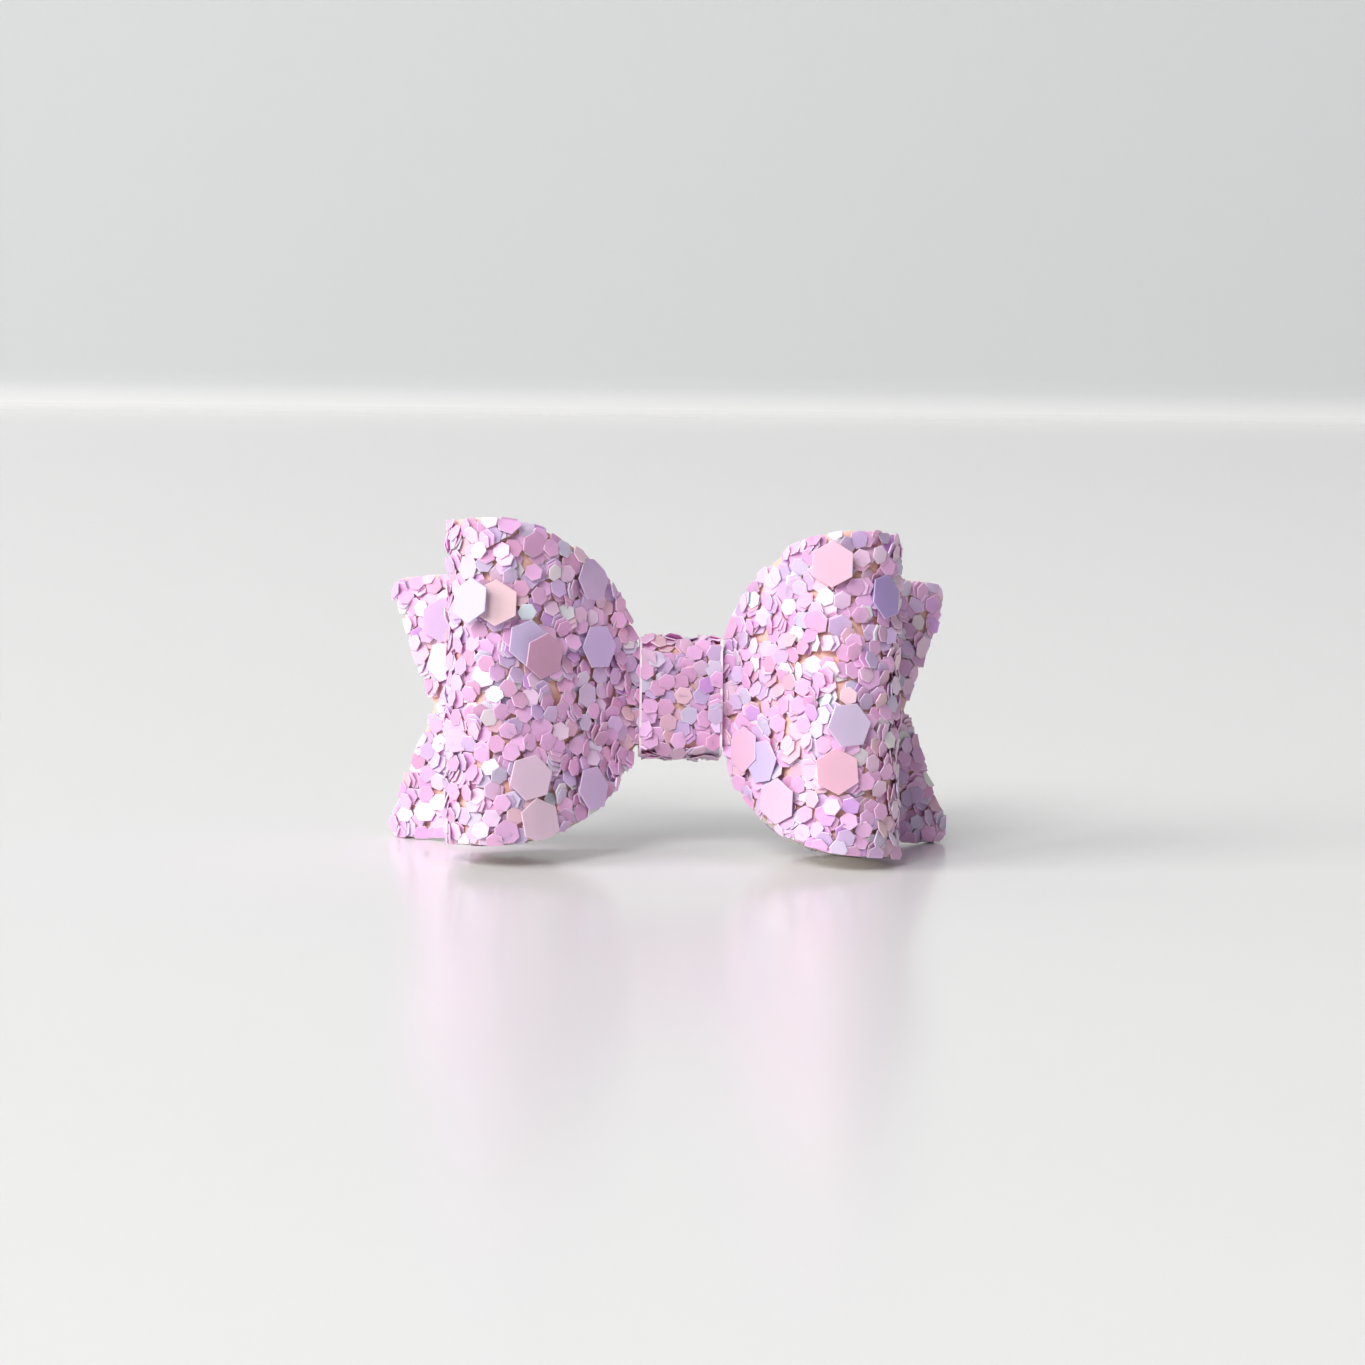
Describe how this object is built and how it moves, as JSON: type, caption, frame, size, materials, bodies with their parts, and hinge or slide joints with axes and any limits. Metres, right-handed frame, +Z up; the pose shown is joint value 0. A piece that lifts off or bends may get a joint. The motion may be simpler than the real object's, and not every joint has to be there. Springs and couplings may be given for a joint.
{
  "type": "hair bow",
  "caption": "Small hair bow of pink and lilac chunky-glitter canvas with two folded loops, swallow tails and a centre wrap, on an alligator clip.",
  "frame": {"origin": "centre of the base of the bow's box, on the surface that the bow stands on", "axes": "+Z up, X along the bow's length, the front of the bow facing -Y"},
  "size_m": [0.045, 0.0242, 0.0269],
  "materials": {
    "glitter_canvas": "satin",
    "hot_melt": "satin",
    "ribbon": "matte",
    "plated_steel": "polished",
    "spring_steel": "satin"
  },
  "bodies": {
    "root": {"loop_strip": "glitter_canvas", "tail_piece": "glitter_canvas", "centre_wrap": "glitter_canvas", "waist_glue": "hot_melt", "lap_glue": "hot_melt", "tail_glue": "hot_melt", "wrap_glue": "hot_melt", "clip_glue": "hot_melt", "jaw_lining": "ribbon", "fixed_jaw": "plated_steel", "hinge_pin": "plated_steel", "jaw_spring": "spring_steel"},
    "jaw": {"moving_jaw": "plated_steel"}
  },
  "joints": [
    {"name": "jaw_hinge", "type": "hinge", "parent": "root", "child": "jaw", "pos_m": [0.00575, 0.00549, 0.0113], "axis": [0, -0.1564, -0.9877], "range_deg": [0, 30], "stiffness_Nm_per_rad": 0.05, "springref_deg": -37.24, "deforming": ["jaw_spring"]}
  ]
}
